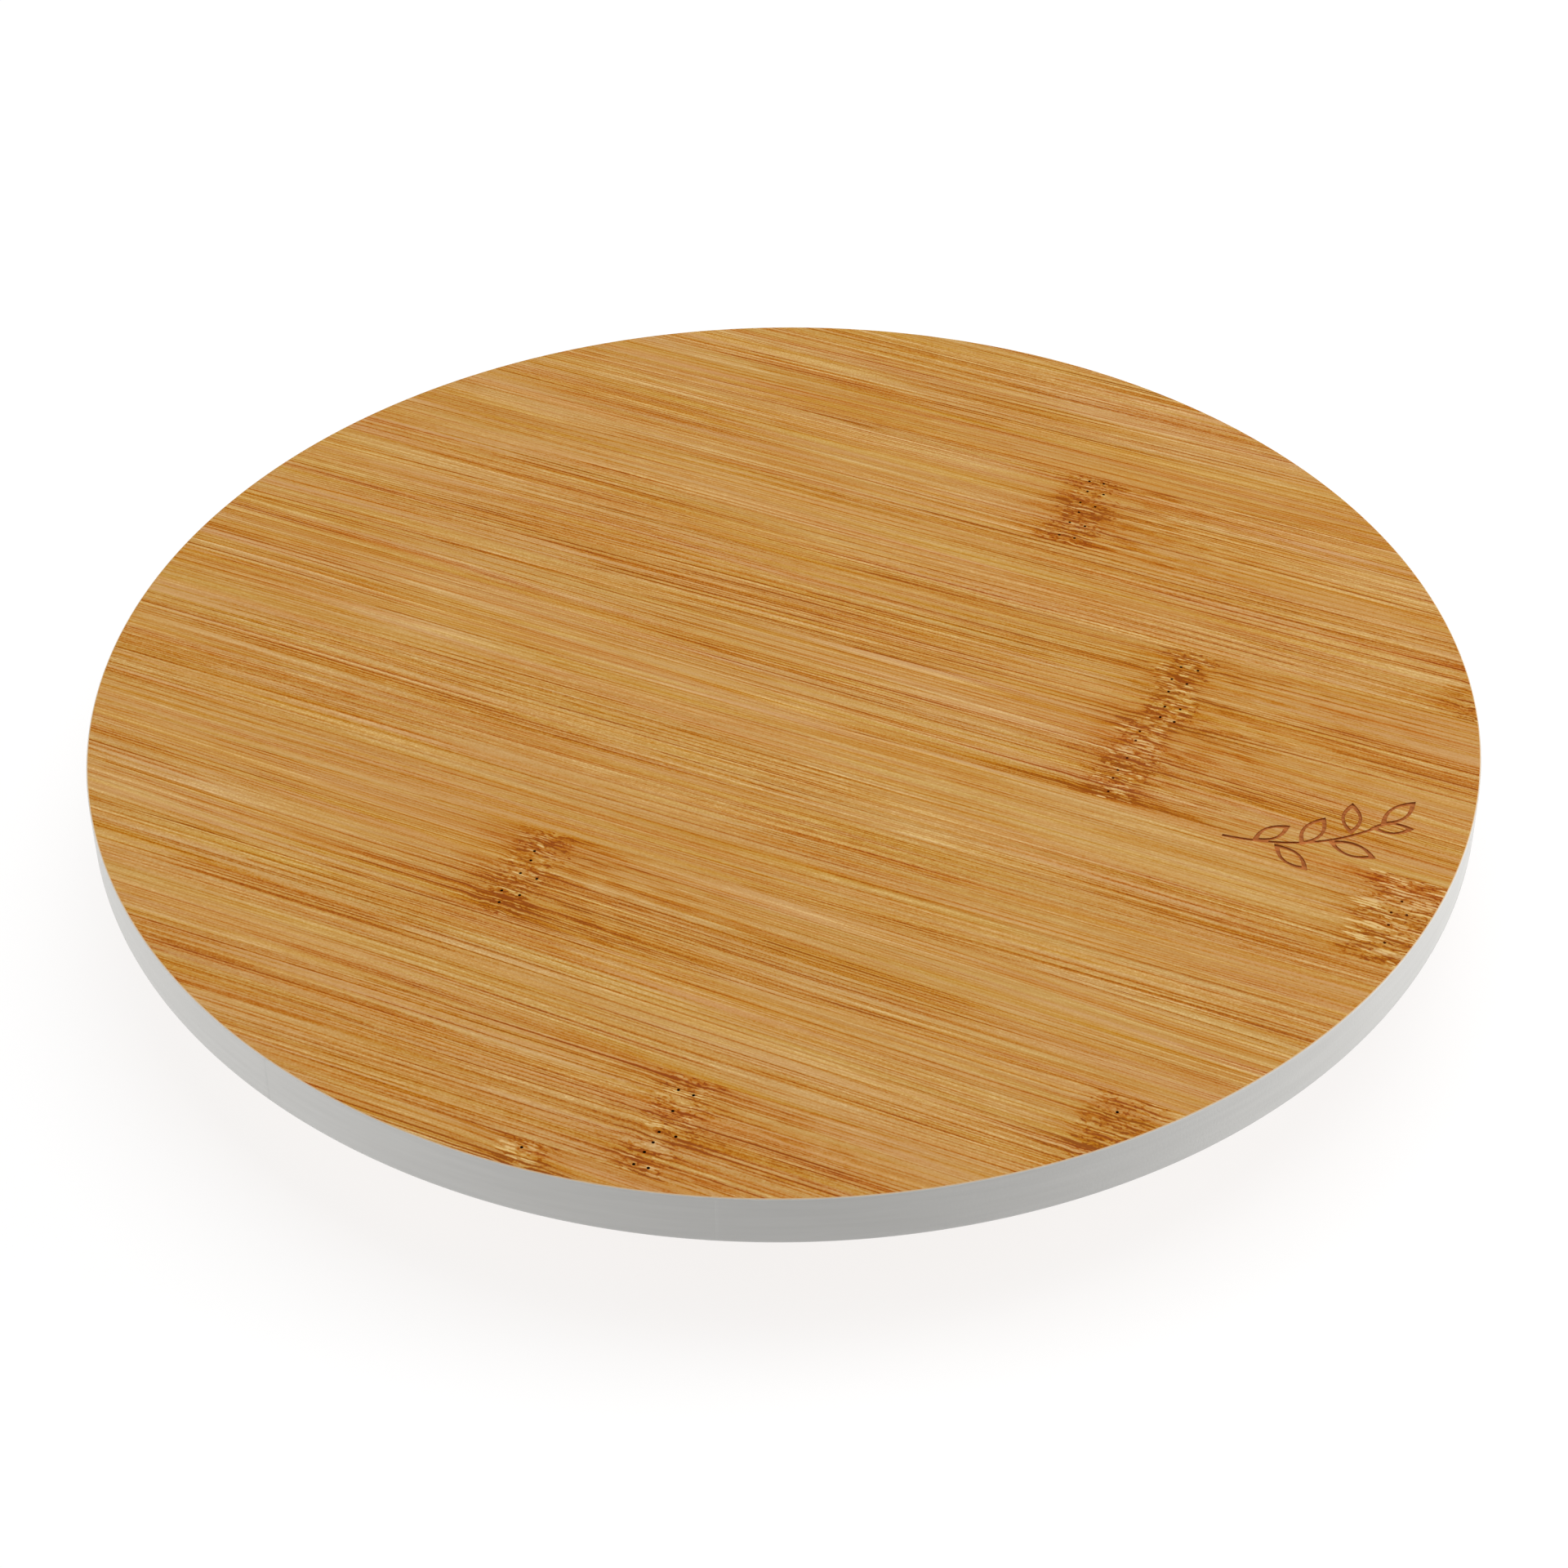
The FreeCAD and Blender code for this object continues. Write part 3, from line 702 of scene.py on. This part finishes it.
def make_strips(names, body, culms, outline, holes, is_board, first_seed):
    """The strips of a panel, with rounded rims, open pores and holes, in place of the CAD's."""
    for number, name in enumerate(names, 1):
        low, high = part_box(name)
        seed = first_seed + STRIP_SEED_STEP * number
        slope = FIBRE_SLOPE + FIBRE_SLOPE_SPREAD * math.sin(2.1 * number)
        tone = STRIP_TONE_SPREAD * math.sin(4.4 * number + 0.8)
        culm_nodes = culms.get(number, [])
        strip = new_object(name + "_wood", strip_mesh(outline, low.y, high.y))
        carve_strip(strip, low.y, high.y, culm_nodes, seed, holes, is_board)
        smooth(strip.data, 40.0)
        engraved = is_board and number in ENGRAVED_STRIPS
        material = bamboo(name, seed, culm_nodes, slope, tone, low.y, high.y, is_board, engraved)
        strip.data.materials.clear()
        strip.data.materials.append(material)
        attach(strip, body)
        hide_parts(name)


def make_board():
    rim = rim_outline(BOARD_RADIUS, BOARD_BOTTOM, BOARD_TOP, BOARD_UNDER_ROUND, BOARD_TOP_ROUND)
    holes = screw_holes("board_screw", True)
    make_strips(BOARD_STRIPS, "turntable", BOARD_CULM_NODES, rim, holes, True, BOARD_SEED)


def make_base():
    rim = rim_outline(BASE_RADIUS, BASE_BOTTOM, BASE_TOP, BASE_ROUND, BASE_ROUND)
    holes = screw_holes("base_screw", False) + screw_holes("foot_screw", True)
    holes.append((ACCESS_HOLE_PLACE, 0.0, ACCESS_HOLE_RADIUS, BASE_BOTTOM - OVERRUN, BASE_TOP + OVERRUN, 64))
    make_strips(BASE_STRIPS, "base", BASE_CULM_NODES, rim, holes, False, BASE_SEED)


def paint_hardware():
    """Gives the carried-over bearing, screws, washers and feet their materials."""
    zinc = steel("zinc_plate", linear(205, 207, 208), rough=0.34, polish=1.0)
    polished = steel("ball_steel", linear(226, 226, 228), rough=0.12, polish=0.3)
    screws = steel("screw_steel", linear(196, 195, 190), rough=0.30, polish=0.6)
    black = rubber("foot_rubber")
    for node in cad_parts:
        if node.startswith("bearing_") and node.endswith("plate"):
            paint_node(node, zinc)
        elif node == "bearing_balls":
            paint_node(node, polished)
        elif "screw" in node or "washer" in node:
            paint_node(node, screws)
        elif node.startswith("foot"):
            paint_node(node, black)


# The camera, in degrees round the board and above it, and by its distance from the point it aims at
CAMERA_AZIMUTH = math.radians(23.8)
CAMERA_ELEVATION = math.radians(39.56)
CAMERA_ROLL = -0.0106
CAMERA_DISTANCE = 5.073 * TOP_RADIUS
CAMERA_AIM = -0.195 * TOP_RADIUS  # where the camera aims on the top, away from its centre
CAMERA_LENS = 82.5


def make_camera():
    a, e = CAMERA_AZIMUTH, CAMERA_ELEVATION
    ahead = Vector((-math.sin(a), math.cos(a), 0.0))
    back = Vector((math.sin(a) * math.cos(e), -math.cos(a) * math.cos(e), math.sin(e)))
    level = Vector((math.cos(a), math.sin(a), 0.0))
    upward = back.cross(level)
    right = level * math.cos(CAMERA_ROLL) + upward * math.sin(CAMERA_ROLL)
    up = upward * math.cos(CAMERA_ROLL) - level * math.sin(CAMERA_ROLL)
    data = bpy.data.cameras.new("camera")
    data.lens = CAMERA_LENS
    data.clip_start, data.clip_end = 0.01, 20.0
    camera = bpy.data.objects.new("camera", data)
    bpy.context.scene.collection.objects.link(camera)
    turn = Matrix((right, up, back)).transposed().to_4x4()
    spot = ahead * CAMERA_AIM + Vector((0.0, 0.0, BOARD_TOP)) + back * CAMERA_DISTANCE
    camera.matrix_world = Matrix.Translation(spot) @ turn
    bpy.context.scene.camera = camera


def area_light(name, azimuth, elevation, distance, size, power):
    """A soft box that faces the foot of the board, placed by its angles from the camera's side."""
    a, e = CAMERA_AZIMUTH + math.radians(azimuth), math.radians(elevation)
    back = Vector((math.sin(a) * math.cos(e), -math.cos(a) * math.cos(e), math.sin(e)))
    data = bpy.data.lights.new(name, "AREA")
    data.shape = "SQUARE"
    data.size = size
    data.energy = power
    light = bpy.data.objects.new(name, data)
    bpy.context.scene.collection.objects.link(light)
    light.location = back * distance
    light.rotation_mode = "QUATERNION"
    light.rotation_quaternion = back.to_track_quat("Z", "Y")


# The floor's half size in metres, its own grey and glow, and where in mm the glow grows to a full white
FLOOR_SIZE = 30.0
FLOOR_GREY = 0.17
FLOOR_GLOW = 0.84
GLOW_GROWS = (400.0, 1600.0)
SURROUND = 0.12

# The soft boxes: azimuth and elevation in degrees, distance and size in metres, and power in watts
LIGHTS = {
    "key": (135.0, 79.0, 1.3, 1.2, 14.2),
    "right": (96.0, 20.0, 1.3, 0.8, 11.2),
    "left": (-90.0, 20.0, 1.3, 0.8, 8.3),
}


def make_world():
    """A dim even surround that lights the scene, and looks white where the camera sees past the floor."""
    world = bpy.data.worlds.new("world")
    bpy.context.scene.world = world
    world.use_nodes = True
    n = Nodes(world.node_tree)
    seen = n.add("ShaderNodeLightPath", {}, output="Is Camera Ray")
    background = world.node_tree.nodes["Background"]
    background.inputs["Color"].default_value = (1.0, 1.0, 1.0, 1.0)
    n.tree.links.new(n.plus(SURROUND, seen), background.inputs["Strength"])


def make_floor():
    """A pale floor that glows, so its shadows stay pale, and that can be looked through from below."""
    data = bpy.data.meshes.new("floor")
    corners = [(-1, -1), (1, -1), (1, 1), (-1, 1)]
    data.from_pydata([(x * FLOOR_SIZE, y * FLOOR_SIZE, 0.0) for x, y in corners], [], [(0, 1, 2, 3)])
    floor = bpy.data.objects.new("floor", data)
    bpy.context.scene.collection.objects.link(floor)
    material, n, shader = new_material("floor", Roughness=0.9, Specular_IOR_Level=0.0)
    shader.inputs["Base Color"].default_value = (FLOOR_GREY, FLOOR_GREY, FLOOR_GREY, 1.0)
    shader.inputs["Emission Color"].default_value = (1.0, 1.0, 1.0, 1.0)
    x, y, _ = n.place()
    out = n.math("SQRT", n.plus(n.times(x, x), n.times(y, y)))
    glow = n.step(out, *GLOW_GROWS, FLOOR_GLOW, 1.0)
    n.tree.links.new(glow, shader.inputs["Emission Strength"])
    below = n.add("ShaderNodeNewGeometry", {}, output="Backfacing")
    clear = n.add("ShaderNodeBsdfTransparent", {})
    both = n.add("ShaderNodeMixShader", {0: below, 1: shader.outputs[0], 2: clear})
    n.tree.links.new(both, n.tree.nodes["Material Output"].inputs["Surface"])
    data.materials.append(material)


make_board()
make_base()
paint_hardware()
make_camera()
make_floor()
make_world()
for light, (azimuth, elevation, distance, size, power) in LIGHTS.items():
    area_light(light, azimuth, elevation, distance, size, power)
bpy.context.scene.view_settings.view_transform = "Standard"
